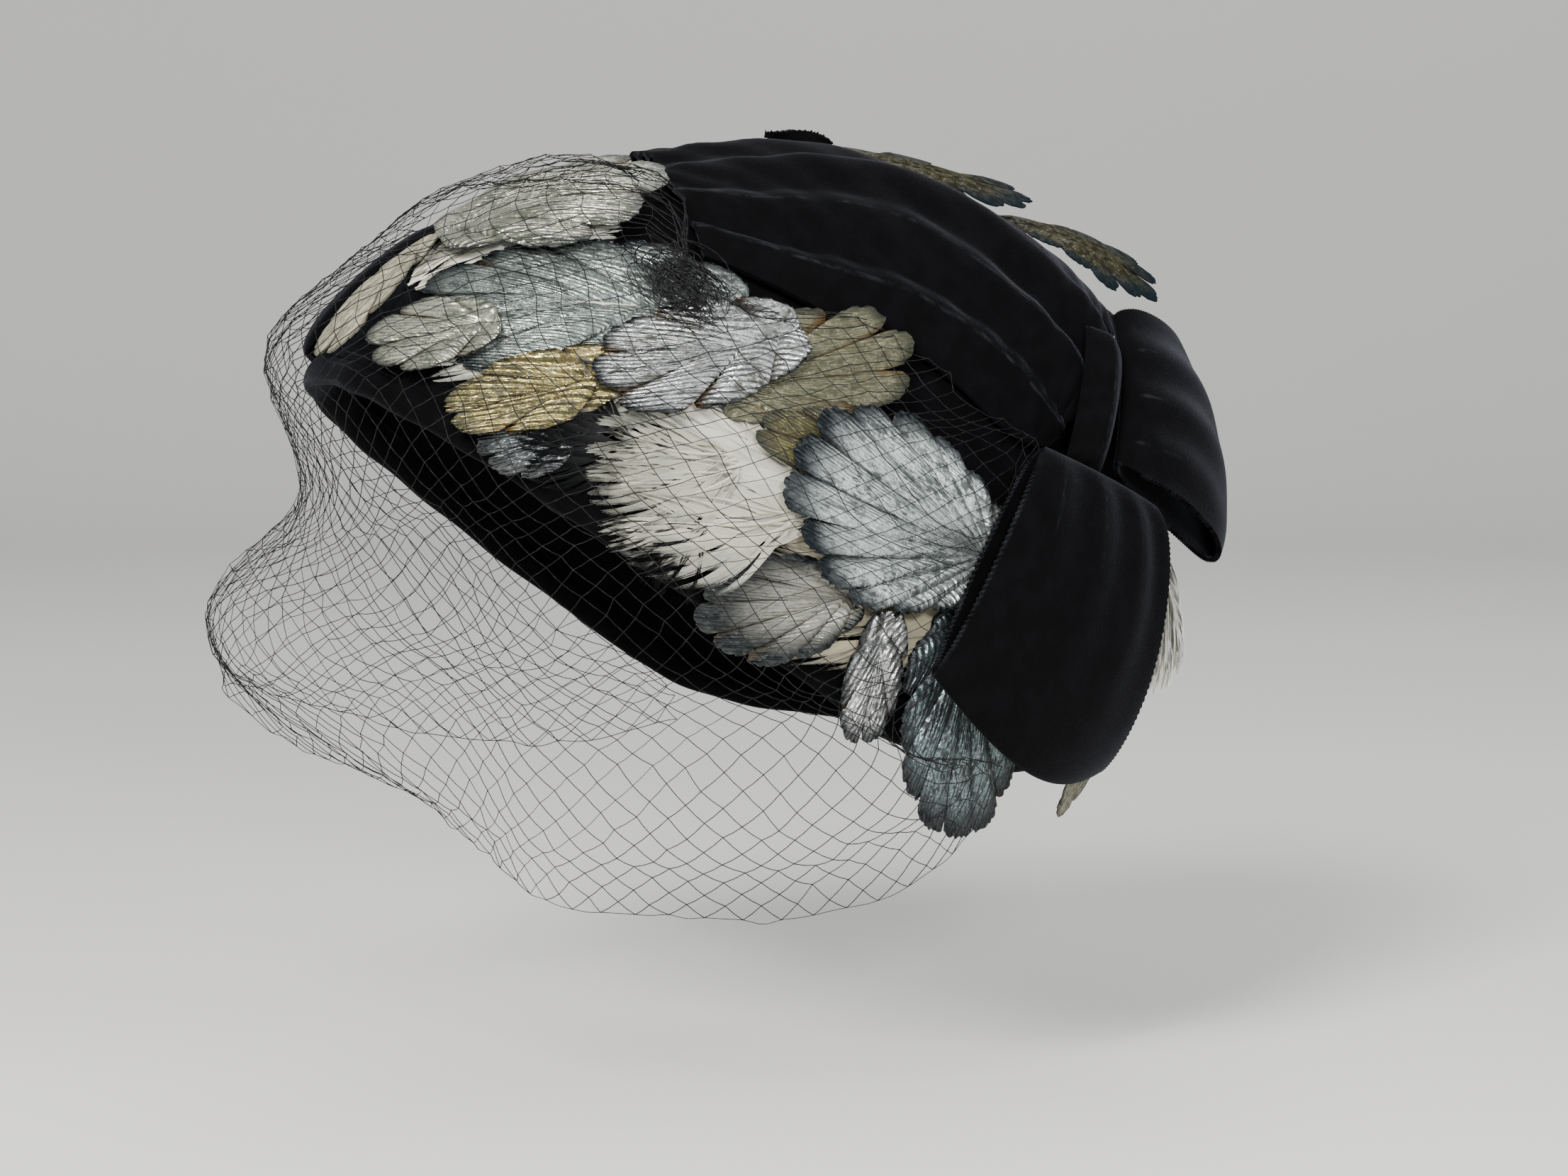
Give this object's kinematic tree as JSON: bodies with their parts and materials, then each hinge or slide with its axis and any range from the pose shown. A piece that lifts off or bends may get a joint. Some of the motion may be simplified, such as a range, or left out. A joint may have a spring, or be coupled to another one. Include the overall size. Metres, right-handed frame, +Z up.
{
  "type": "velvet hat",
  "caption": "Close black velvet hat with a pleated drape, a flat bow behind, painted feather leaves over white feathers, and a net veil that hangs over the face",
  "frame": {"origin": "the highest point inside the crown on its middle line, where the hat rests on the top of the head", "axes": "+Z up, -Y the wearer's front, +X the wearer's left"},
  "size_m": [0.195, 0.265, 0.1816],
  "materials": {
    "black_velvet": "deep black silk velvet with a short pile",
    "white_feather": "soft off-white feather",
    "silver_leaf": "feather painted metallic silver",
    "slate_leaf": "feather painted slate grey with a satin sheen",
    "brass_leaf": "feather painted metallic brass",
    "olive_leaf": "feather dyed olive with a satin sheen",
    "cream_leaf": "cream feather",
    "charcoal_net": "fine charcoal veiling net"
  },
  "bodies": {
    "root": {"base_shell": "black_velvet", "rim_roll": "black_velvet", "velvet_drape": "black_velvet", "velvet_fold": "black_velvet", "velvet_tab": "black_velvet", "bow_knot": "black_velvet", "bow_loop_lower": "black_velvet", "bow_loop_upper": "black_velvet", "leaf_front_grey": "silver_leaf", "leaf_front_top": "olive_leaf", "leaf_front_pale": "silver_leaf", "leaf_front_cream": "cream_leaf", "leaf_front_small": "slate_leaf", "leaf_brass": "brass_leaf", "leaf_bright": "silver_leaf", "leaf_khaki": "olive_leaf", "leaf_olive": "olive_leaf", "leaf_big_silver": "silver_leaf", "leaf_rim_dark": "slate_leaf", "leaf_rim_bright": "silver_leaf", "leaf_rim_teal": "slate_leaf", "leaf_under_bow": "olive_leaf", "leaf_crown_ochre": "olive_leaf", "leaf_crown_khaki": "olive_leaf", "leaf_back_upper": "olive_leaf", "leaf_back_lower": "slate_leaf", "leaf_far_front": "silver_leaf", "leaf_far_brass": "brass_leaf", "leaf_far_side": "silver_leaf", "leaf_far_back": "olive_leaf", "feather_pad_front": "white_feather", "feather_pad_top": "white_feather", "feather_pad_side": "white_feather", "feather_tuft": "white_feather", "feather_pad_far": "white_feather", "feather_back": "white_feather", "veil": "charcoal_net"}
  },
  "joints": []
}
